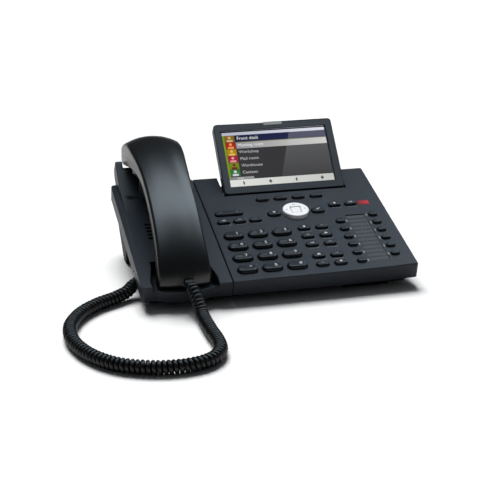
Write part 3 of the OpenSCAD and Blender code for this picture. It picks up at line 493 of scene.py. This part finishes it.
class PHONE_OT_cord(bpy.types.Operator):
    """Winds the curly cord along its route and rounds its two plugs"""
    bl_idname = "phone.cord"
    bl_label = "Curly cord"

    def execute(self, context):
        sizes = context.scene.phone_sizes
        points, total = smooth_route(sizes.curl_pitch / sizes.curl_steps)
        side = Vector((1, 0, 0))
        coil = []
        for i, p in enumerate(points):
            ahead = (points[min(i + 1, len(points) - 1)].xyz - points[max(i - 1, 0)].xyz).normalized()
            side = (side - ahead * side.dot(ahead)).normalized()
            other = ahead.cross(side)
            s = total * i / (len(points) - 1)
            opening = min(1, s / 0.004, (total - s) / 0.004)
            r = (p.w * sizes.curl / (10 * MM) - sizes.wire / 2) * math.sin(opening * math.pi / 2)
            a = 2 * math.pi * i / sizes.curl_steps
            coil.append(p.xyz + r * (side * math.cos(a) + other * math.sin(a)))
        curve = bpy.data.curves.new("curl", "CURVE")
        curve.dimensions = "3D"
        curve.bevel_depth, curve.bevel_resolution, curve.use_fill_caps = sizes.wire / 2, 2, True
        line = curve.splines.new("POLY")
        line.points.add(len(coil) - 1)
        for q, p in zip(line.points, coil):
            q.co = (*p, 1)
        holder = bpy.data.objects.new("curl", curve)
        context.scene.collection.objects.link(holder)
        context.view_layer.update()
        mesh = bpy.data.meshes.new_from_object(holder.evaluated_get(context.evaluated_depsgraph_get()))
        bm = bmesh.new()
        bm.from_mesh(mesh)
        bpy.data.objects.remove(holder)
        bmesh.ops.remove_doubles(bm, verts=bm.verts, dist=1e-7)
        for f in bm.faces:
            f.material_index = 0
        cord = piece(bm, "curly_cord", "base", ["cord"], "handset_cord", smooth=60, weighted=False)
        for node, body in (("cord_plug_base", "base"), ("cord_plug_handset", "handset")):
            bm = merged(node)
            edges = [e for e in bm.edges if e.calc_face_angle(0) > 1]
            round_edges(bm, edges, 0.6 * MM, 3)
            piece(bm, node + "_moulded", body, ["cord"], node)
        return {"FINISHED"}


class PHONE_OT_covers(bpy.types.Operator):
    """Rounds the edges of the top, cradle and base covers and of the wedge stand"""
    bl_idname = "phone.covers"
    bl_label = "Covers"

    def execute(self, context):
        sizes = context.scene.phone_sizes
        lo, hi = reach("top_cover")
        strip_lo, strip_hi = reach("label_window")

        def outer(a, b):
            """Whether an edge belongs to the cover's outer rim."""
            return all(p.x > hi.x - 6 * MM or p.x < lo.x + 0.5 * MM
                       or p.y < lo.y + 7 * MM or p.y > hi.y - 0.5 * MM for p in (a, b))

        def hole(a, b):
            """Whether an edge is round a hole in the face, and not at the label strip."""
            mid = (a + b) / 2
            near_strip = (strip_lo.x - 4 * MM < mid.x < strip_hi.x + 4 * MM
                          and strip_lo.y - 3 * MM < mid.y < strip_hi.y + 3 * MM)
            return not outer(a, b) and not near_strip and mid.z > hi.z - 1.5 * MM

        bm = merged("top_cover")
        bm.transform(FACE.inverted())
        ease(bm, sizes.cover_edge, 4, lambda a, b: outer(a, b) and min(a.z, b.z) > hi.z - 1 * MM)
        ease(bm, sizes.hole_edge, 2, hole, angle=50)
        bm.transform(FACE)
        piece(bm, "top_cover_moulded", "base", ["body"], "top_cover")

        lo, hi = reach("cradle_cover")
        bm = merged("cradle_cover")
        bm.transform(FACE.inverted())
        ease(bm, 0.9 * MM, 3, lambda a, b: min(a.z, b.z) > lo.z + 5 * MM)
        bm.transform(FACE)
        piece(bm, "cradle_cover_moulded", "base", ["body"], "cradle_cover")

        for node in ("base_cover", "footstand"):
            bm = merged(node)
            edges = [e for e in bm.edges if e.is_convex and e.calc_face_angle(0) > HARD
                     and e.calc_length() > 12 * MM]
            round_edges(bm, edges, sizes.trim_edge, 2)
            piece(bm, node + "_moulded", "base", ["base"], node)
        return {"FINISHED"}


class PHONE_OT_handset(bpy.types.Operator):
    """Smooths the handset's two shells and rounds the ear cap"""
    bl_idname = "phone.handset"
    bl_label = "Handset"

    def execute(self, context):
        for node in ("handset_outer", "handset_inner"):
            bm = bmesh.new()
            bm.from_mesh(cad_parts[node].data)
            bmesh.ops.remove_doubles(bm, verts=bm.verts, dist=2e-6)
            bmesh.ops.join_triangles(bm, faces=bm.faces, angle_face_threshold=math.radians(20),
                                     angle_shape_threshold=math.radians(180))
            piece(bm, node + "_smooth", "handset", ["handset"], node, smooth=40)
        bm = merged("ear_cap")
        round_edges(bm, [e for e in bm.edges if e.is_convex and e.calc_face_angle(0) > HARD], 0.25 * MM, 2)
        piece(bm, "ear_cap_moulded", "handset", ["handset"], "ear_cap")
        return {"FINISHED"}


LETTERS = {"key_1": ("1", ""), "key_2": ("2", "ABC"), "key_3": ("3", "DEF"), "key_4": ("4", "GHI"),
           "key_5": ("5", "JKL"), "key_6": ("6", "MNO"), "key_7": ("7", "PQRS"), "key_8": ("8", "TUV"),
           "key_9": ("9", "WXYZ"), "key_star": ("*", ""), "key_0": ("0", ""), "key_hash": ("#", "")}
MARKS = {"corner_keys": ("dot", "steps"), "feature_keys": ("steps", "slab", "dash"),
         "call_keys": ("dot", "bars", "slab", "hat", "steps", "slab"),
         "menu_keys": ("hat", "bars", "bars", "dot"), "cancel_key": ("cross",), "confirm_key": ("tick",),
         "volume_key": ("minus_plus",)}
SMALL_KEYS = ("soft_keys", "feature_keys", "corner_keys", "call_keys", "menu_keys", "line_keys_left",
              "line_keys_right", "cancel_key", "confirm_key", "volume_key")


class PHONE_OT_keys(bpy.types.Operator):
    """Gives every key its crowned top and its printed mark"""
    bl_idname = "phone.keys"
    bl_label = "Keys"

    def crowned(self, node, crown):
        """The key with each flat top drawn in over a quarter circle; its walls stay upright."""
        bm = merged(node)
        bm.transform(FACE.inverted())
        high = max(v.co.z for v in bm.verts)
        for top in [f for f in bm.faces if f.normal.z > 0.9 and f.calc_center_median().z > high - 0.1 * MM]:
            lo = Vector([min(v.co[i] for v in top.verts) for i in range(3)])
            hi = Vector([max(v.co[i] for v in top.verts) for i in range(3)])
            middle, half, last = (lo + hi) / 2, (hi - lo) / 2, Vector((1, 1))
            for v in top.verts:
                v.co.z -= crown
            for k in range(1, 7):
                turn = k / 6 * math.pi / 2
                inset = crown * (1 - math.cos(turn))
                share = Vector((1 - inset / half.x, 1 - inset / half.y))
                top = bmesh.ops.extrude_discrete_faces(bm, faces=[top])["faces"][0]
                for v in top.verts:
                    v.co.x = middle.x + (v.co.x - middle.x) * share.x / last.x
                    v.co.y = middle.y + (v.co.y - middle.y) * share.y / last.y
                    v.co.z = high - crown + crown * math.sin(turn)
                last = share
        return bm, high

    def mark(self, bm, kind, spot, wide, lift):
        """Prints one small mark on a key; spot is the middle of its top."""
        white, grey = 1, 2

        def stroke(x, y, long, thick, ink, turn=0, radius=0.0):
            place = spot @ Matrix.Translation((x, y, 0)) @ Matrix.Rotation(math.radians(turn), 4, "Z")
            add_plate(bm, place, long, thick, lift, radius, ink)

        if kind == "dot":
            made = bmesh.ops.create_circle(bm, cap_ends=True, segments=20, radius=1.0 * MM,
                                           matrix=spot @ Matrix.Translation((0, 0, lift)))["verts"]
            for f in {f for v in made for f in v.link_faces}:
                f.material_index = white
        elif kind == "cross":
            for turn in (45, -45):
                stroke(0, 0, 2.8 * MM, 0.6 * MM, white, turn)
        elif kind == "tick":
            stroke(0.6 * MM, 0.3 * MM, 3.0 * MM, 0.6 * MM, white, 50)
            stroke(-0.8 * MM, -0.3 * MM, 1.6 * MM, 0.6 * MM, white, -45)
        elif kind == "minus_plus":
            for s in (-1, 1):
                stroke(s * 0.30 * wide, 0, 2.4 * MM, 0.5 * MM, grey)
            stroke(0.30 * wide, 0, 0.5 * MM, 2.2 * MM, grey)
        elif kind == "bars":
            for s in (-0.8, 0.8):
                stroke(s * MM, 0, 0.9 * MM, 1.8 * MM, grey)
        elif kind == "slab":
            stroke(0, 0, 3.2 * MM, 1.4 * MM, grey, radius=0.5 * MM)
        elif kind == "hat":
            stroke(0, 0, 3.4 * MM, 0.6 * MM, white)
            stroke(0, 0.8 * MM, 1.4 * MM, 1.0 * MM, white)
        elif kind == "steps":
            for s in (-1, 0, 1):
                stroke(s * 1.2 * MM, 0, 0.6 * MM, (1.2 + 0.5 * s) * MM, white)
        elif kind == "dash":
            stroke(0, 0, 3.0 * MM, 0.5 * MM, grey)

    def execute(self, context):
        sizes = context.scene.phone_sizes
        lift = sizes.print_lift
        for node, (digit, letters) in LETTERS.items():
            bm, high = self.crowned(node, sizes.key_crown)
            bm.transform(FACE)
            centre, wide, deep = cap_tops(node)[0]
            add_text(bm, digit, at(FACE, centre.x + 0.17 * wide, centre.y + 0.4 * MM, high - 0.01 * MM),
                     sizes.digit_height, 1, thick=lift)
            if letters:
                add_text(bm, letters, at(FACE, centre.x - 0.17 * wide, centre.y - 0.2 * MM, high - 0.01 * MM),
                         sizes.letter_height, 2, thick=lift)
            piece(bm, node + "_cap", node, ["key", "legend", "caption"], node, smooth=30)
        for node in SMALL_KEYS:
            bm, high = self.crowned(node, sizes.small_crown)
            bm.transform(FACE)
            for (centre, wide, deep), mark in zip(cap_tops(node), MARKS.get(node, ())):
                self.mark(bm, mark, at(FACE, centre.x, centre.y + 0.2 * MM, high - 0.01 * MM), wide, lift)
            piece(bm, node + "_caps", node, ["key", "legend", "caption"], node, smooth=30)
        return {"FINISHED"}


class PHONE_OT_navigation(bpy.types.Operator):
    """Rounds the navigation disc and its centre key, and prints the four arrows"""
    bl_idname = "phone.navigation"
    bl_label = "Navigation disc"

    def execute(self, context):
        lift = context.scene.phone_sizes.print_lift
        bm = merged("nav_ring")
        bm.transform(FACE.inverted())
        high = max(v.co.z for v in bm.verts)
        centre, wide, deep = cap_tops("nav_ring")[0]
        half = wide / 2

        def rim(a, b):
            """Whether an edge is on the disc's outer edge, at the top."""
            return all((p.xy - centre.xy).length > half - 0.5 * MM and p.z > high - 0.1 * MM for p in (a, b))

        ease(bm, 1.2 * MM, 5, rim)
        ease(bm, 0.35 * MM, 2, lambda a, b: not rim(a, b) and min(a.z, b.z) > high - 0.1 * MM
             and max((a.xy - centre.xy).length, (b.xy - centre.xy).length) < half - 3 * MM)
        bm.transform(FACE)
        for k in range(4):
            turn = Matrix.Rotation(math.pi / 2 * k, 4, "Z")
            for s in (-1, 1):
                spot = (at(FACE, centre.x, centre.y, high - 0.01 * MM) @ turn
                        @ Matrix.Translation((s * 0.55 * MM, half * 0.70, 0))
                        @ Matrix.Rotation(math.radians(-s * 40), 4, "Z"))
                add_plate(bm, spot, 1.8 * MM, 0.5 * MM, lift, mat=1)
        piece(bm, "navigation_disc", "nav_ring", ["disc", "arrow"], "nav_ring", smooth=30)

        bm = merged("ok_key")
        bm.transform(FACE.inverted())
        corners = [e for e in bm.edges if abs(e.verts[0].co.z - e.verts[1].co.z) > 2 * MM]
        round_edges(bm, corners, 1.6 * MM, 4)
        high = max(v.co.z for v in bm.verts)
        ease(bm, 0.5 * MM, 3, lambda a, b: min(a.z, b.z) > high - 0.1 * MM)
        bm.transform(FACE)
        piece(bm, "centre_key", "ok_key", ["disc"], "ok_key", smooth=30)
        return {"FINISHED"}


class PHONE_OT_captions(bpy.types.Operator):
    """Prints the small captions on the face, and fills the label strip with its rows"""
    bl_idname = "phone.captions"
    bl_label = "Captions and labels"

    def execute(self, context):
        lift = context.scene.phone_sizes.print_lift
        top = reach("top_cover")[1].z
        bm = bmesh.new()
        # Each caption is three bars, in shares of the key's width, whose lengths vary from key to key.
        for nodes, below in ((("feature_keys", "corner_keys"), 4.3 * MM),
                             (("call_keys", "menu_keys"), 4.9 * MM)):
            for node in nodes:
                for n, (centre, wide, deep) in enumerate(cap_tops(node)):
                    x = centre.x - 0.36 * wide
                    for part, gap in ((0.34, 0.0), (0.22, 0.4), (0.12, 0.68)):
                        share = part + 0.03 * ((n * 7 + int(100 * gap)) % 3)
                        spot = at(FACE, x + (gap + share / 2) * wide, centre.y - below, top - 0.01 * MM)
                        add_plate(bm, spot, share * wide, 0.6 * MM, lift)
        piece(bm, "face_captions", "base", ["caption"], weighted=False)

        card_lo, card_hi = reach("label_strip")
        bm = merged("label_strip")
        rows = 12
        pitch = (card_hi.y - card_lo.y) / rows
        for k in range(rows):
            add_plate(bm, at(FACE, (card_lo.x + card_hi.x) / 2, card_lo.y + pitch * (k + 0.5), card_hi.z),
                      card_hi.x - card_lo.x - 0.6 * MM, pitch * 0.66, 0.01 * MM, mat=1)
        piece(bm, "label_card", "base", ["card", "card_light"], "label_strip", weighted=False)
        return {"FINISHED"}


PLACES = ("Front desk", "Meeting room", "Workshop", "Mail room", "Warehouse", "Canteen")


class PHONE_OT_display(bpy.types.Operator):
    """Rounds the display's housing, draws the lit picture under its glass and lays a painted reflection band
    over it
    """
    bl_idname = "phone.display"
    bl_label = "Display"

    def execute(self, context):
        for node in ("display_bezel", "display_back"):
            bm = merged(node)
            bm.transform(SCREEN.inverted())
            lo = Vector([min(v.co[i] for v in bm.verts) for i in range(3)])
            hi = Vector([max(v.co[i] for v in bm.verts) for i in range(3)])
            if node == "display_bezel":
                ease(bm, 0.9 * MM, 4, lambda a, b: min(a.z, b.z) > hi.z - 0.1 * MM
                     and all(p.x > hi.x - 4 * MM or p.x < lo.x + 4 * MM or p.y > hi.y - 4 * MM
                             or p.y < lo.y + 4 * MM for p in (a, b)))
                ease(bm, 0.45 * MM, 2, lambda a, b: min(a.z, b.z) > hi.z - 0.1 * MM
                     and all(lo.x + 5 * MM < p.x < hi.x - 5 * MM for p in (a, b)), angle=60)
            else:
                edges = [e for e in bm.edges if e.is_convex and e.calc_face_angle(0) > HARD
                         and all(v.co.z < lo.z + 0.1 * MM for v in e.verts)]
                round_edges(bm, edges, 1.4 * MM, 4)
            bm.transform(SCREEN)
            piece(bm, node + "_moulded", "display", ["body"], node)
        self.picture()
        # Painted reflection: a pale glowing band over the picture stands in for light mirrored on the glass.
        self.gloss()
        return {"FINISHED"}

    def area(self):
        """Left, bottom, width and height of the lit area in the display's level frame, and its surface."""
        glass_lo, glass_hi = reach("display_glass", SCREEN)
        left, bottom = glass_lo.x + 0.6 * MM, glass_lo.y + 0.6 * MM
        wide, high = glass_hi.x - glass_lo.x - 1.2 * MM, glass_hi.y - glass_lo.y - 1.2 * MM
        return left, bottom, wide, high, reach("lcd_panel", SCREEN)[1].z

    def picture(self):
        """The screen's picture: bars, rows, small portraits without faces and icons."""
        left, bottom, wide, high, base_z = self.area()

        along = (0, left, left + wide)
        looks = {
            "ground": glow("lcd_row_grey", "#3a3a3c", 0.9),
            "status": glow("lcd_status_lavender", "#b9bccb", 0.95, far_code="#dfe2ee", along=along),
            "header": glow("lcd_header_blue", "#1d2244", 0.9, far_code="#2a2d50", along=along),
            "chosen": glow("lcd_chosen_grey", "#8f9092", 0.9, far_code="#d6d5d2", along=along),
            "edge": glow("lcd_chosen_edge", "#77794a", 0.9),
            "bar": glow("lcd_bar_white", "#e4e6e2", 0.95, far_code="#c9cbc6", along=along),
            "words": glow("lcd_words", "#c9cacc", 0.9),
            "bright": glow("lcd_words_bright", "#f2f3f2", 0.95),
            "icon": glow("lcd_icon_dark", "#3c3f42", 0.9),
            "side": glow("lcd_side_green", "#7d9a2c", 0.9),
        }
        portraits = [("#8a6a20", "#d9b38a"), ("#b02818", "#f0a060"), ("#b08a1c", "#f0c060"),
                     ("#a8283c", "#f09aa0"), ("#7a8a20", "#70302c"), ("#3c7a3a", "#d8dcec")]
        for n, (back, front) in enumerate(portraits):
            looks[f"back{n}"] = glow(f"lcd_portrait_back_{n}", back, 0.9)
            looks[f"front{n}"] = glow(f"lcd_portrait_front_{n}", front, 0.9)
        names = list(looks)
        for key, mat in looks.items():
            MATS["lcd_" + key] = mat
        bm = bmesh.new()

        def bar(u0, u1, w0, w1, key, layer):
            """A rectangle of the picture; u runs to the right and w down, as shares of the screen."""
            add_plate(bm, at(SCREEN, left + (u0 + u1) / 2 * wide, bottom + (1 - (w0 + w1) / 2) * high,
                             base_z + layer * 0.01 * MM), (u1 - u0) * wide, (w1 - w0) * high, 0.006 * MM,
                      mat=names.index(key))

        def words(text, u, w, size, key, layer, align="LEFT"):
            spot = at(SCREEN, left + u * wide, bottom + (1 - w) * high, base_z + layer * 0.01 * MM)
            add_text(bm, text, spot, size * MM, names.index(key), align, 0.006 * MM)

        row = 0.126
        bar(0, 1, 0, 1, "ground", 0)
        bar(0, 1, 0, 0.055, "status", 1)
        bar(0, 0.018, 0.055, 0.86, "side", 1)
        bar(0.118, 1, 0.055, 0.055 + row, "header", 1)
        bar(0.118, 1, 0.055 + row, 0.055 + row + 0.012, "edge", 2)
        bar(0.118, 1, 0.067 + row, 0.055 + 2 * row, "chosen", 1)
        bar(0, 1, 0.875, 1, "bar", 1)
        bar(0.0, 0.235, 0.828, 0.868, "chosen", 1)
        for n, text in enumerate(PLACES):
            w = 0.055 + row * (n + 0.5)
            words(text, 0.135, w, 3.1 if n == 0 else 2.8, "bright" if n < 2 else "words", 3)
            bar(0.02, 0.112, w - row * 0.47, w + row * 0.47, f"back{n}", 1)
            head = at(SCREEN, left + 0.066 * wide, bottom + (1 - w + 0.02) * high, base_z + 0.03 * MM)
            made = bmesh.ops.create_circle(bm, cap_ends=True, segments=16, radius=1.35 * MM,
                                           matrix=head)["verts"]
            for f in {f for v in made for f in v.link_faces}:
                f.material_index = names.index(f"front{n}")
            bar(0.038, 0.094, w + 0.02, w + row * 0.45, f"front{n}", 2)
        words("Lines", 0.08, 0.848, 1.7, "bright", 3)
        for n, u in enumerate((0.13, 0.385, 0.635, 0.885)):
            bar(u - 0.008 - 0.006 * (n % 2), u + 0.008 + 0.006 * (n % 2), 0.925, 0.955, "icon", 2)
            bar(u - 0.004, u + 0.004, 0.905, 0.975, "icon", 3)
        piece(bm, "lcd_picture", "display", ["lcd_" + key for key in names], weighted=False)

    def gloss(self):
        """A painted reflection: a pale slanting band of glow laid over the screen's picture, clear at its
        lower end and more strongly whitened above.
        """
        left, bottom, wide, high, base_z = self.area()
        mat = bpy.data.materials.new("screen_gloss_band")
        mat.use_nodes = True
        tree = mat.node_tree
        tree.nodes.clear()
        where = add(tree, "ShaderNodeTexCoord")
        split = add(tree, "ShaderNodeSeparateXYZ", None, {0: where.outputs["Object"]})
        low, top = (SCREEN @ Vector((0, bottom, base_z))).z, (SCREEN @ Vector((0, bottom + high, base_z))).z
        fade = add(tree, "ShaderNodeMapRange",
                   {"From Min": low, "From Max": top, "To Min": 0.012, "To Max": 0.10},
                   {"Value": split.outputs[2]})
        through = add(tree, "ShaderNodeBsdfTransparent")
        # Painted reflection: a pale emitting sheet, weak at the bottom and stronger at the top, stands in for
        # light mirrored on the glass.
        painted_glare = add(tree, "ShaderNodeEmission", {"Color": (0.85, 0.87, 0.9, 1), "Strength": 1.0})
        mixed = add(tree, "ShaderNodeMixShader", None,
                    {0: fade.outputs[0], 1: through.outputs[0], 2: painted_glare.outputs[0]})
        add(tree, "ShaderNodeOutputMaterial", None, {0: mixed.outputs[0]})
        MATS["gloss_band"] = mat
        bm = bmesh.new()
        z = base_z + 0.06 * MM
        shape = [(0.50, 0.87), (1, 0.87), (1, 0.0), (0.66, 0.0)]
        corners = [bm.verts.new(SCREEN @ Vector((left + u * wide, bottom + (1 - w) * high, z)))
                   for u, w in shape]
        bm.faces.new(corners)
        piece(bm, "screen_painted_reflection_sheet", "display", ["gloss_band"], weighted=False)


class PHONE_OT_trim(bpy.types.Operator):
    """Dresses the pieces that keep their CAD shape"""
    bl_idname = "phone.trim"
    bl_label = "Trim and inside"

    def execute(self, context):
        finishes = {
            "rubber": ("stand_pads", "front_pads"),
            "steel": ("case_screws", "display_pins", "loudspeaker", "ear_speaker", "microphone",
                      "handset_weight"),
            "board": ("main_board",),
            "silicone": ("key_mat",),
            "pipe": ("line_lights",),
            "base": ("rear_jacks", "handset_port", "handset_socket", "hook_plunger"),
            "glass": ("display_glass",),
            "sheet": ("label_window",),
            "black_mask": ("lcd_panel",),
        }
        for key, nodes in finishes.items():
            for node in nodes:
                dress(node, key)
        for node, body, key, slot, turn in (("message_light", "base", "lens", "red_lens", FACE),
                                            ("call_light", "display", "tab", "light_pipe", SCREEN)):
            bm = merged(node)
            bm.transform(turn.inverted())
            ease(bm, 0.25 * MM, 3)
            bm.transform(turn)
            piece(bm, node + "_lens", body, [key], node)
        return {"FINISHED"}


class PHONE_PT_panel(bpy.types.Panel):
    """Lists the telephone's pieces, sizes and colours"""
    bl_label = "Telephone"
    bl_idname = "PHONE_PT_panel"
    bl_space_type = "VIEW_3D"
    bl_region_type = "UI"
    bl_category = "Telephone"

    def draw(self, context):
        for op in OPERATORS:
            self.layout.operator(op.bl_idname)
        for group in (context.scene.phone_sizes, context.scene.phone_colours):
            for name in group.__annotations__:
                self.layout.prop(group, name)


OPERATORS = (PHONE_OT_stage, PHONE_OT_cord, PHONE_OT_covers, PHONE_OT_handset, PHONE_OT_keys,
             PHONE_OT_navigation, PHONE_OT_captions, PHONE_OT_display, PHONE_OT_trim)
CLASSES = (PhoneSizes, PhoneColours) + OPERATORS + (PHONE_PT_panel,)


def register():
    for cls in CLASSES:
        bpy.utils.register_class(cls)
    bpy.types.Scene.phone_sizes = PointerProperty(type=PhoneSizes)
    bpy.types.Scene.phone_colours = PointerProperty(type=PhoneColours)


def unregister():
    del bpy.types.Scene.phone_colours
    del bpy.types.Scene.phone_sizes
    for cls in reversed(CLASSES):
        bpy.utils.unregister_class(cls)


def main():
    register()
    MATS.update(make_materials(bpy.context.scene.phone_colours))
    bpy.ops.phone.stage()
    bpy.ops.phone.cord()
    bpy.ops.phone.covers()
    bpy.ops.phone.handset()
    bpy.ops.phone.keys()
    bpy.ops.phone.navigation()
    bpy.ops.phone.captions()
    bpy.ops.phone.display()
    bpy.ops.phone.trim()


if __name__ == "__main__":
    main()
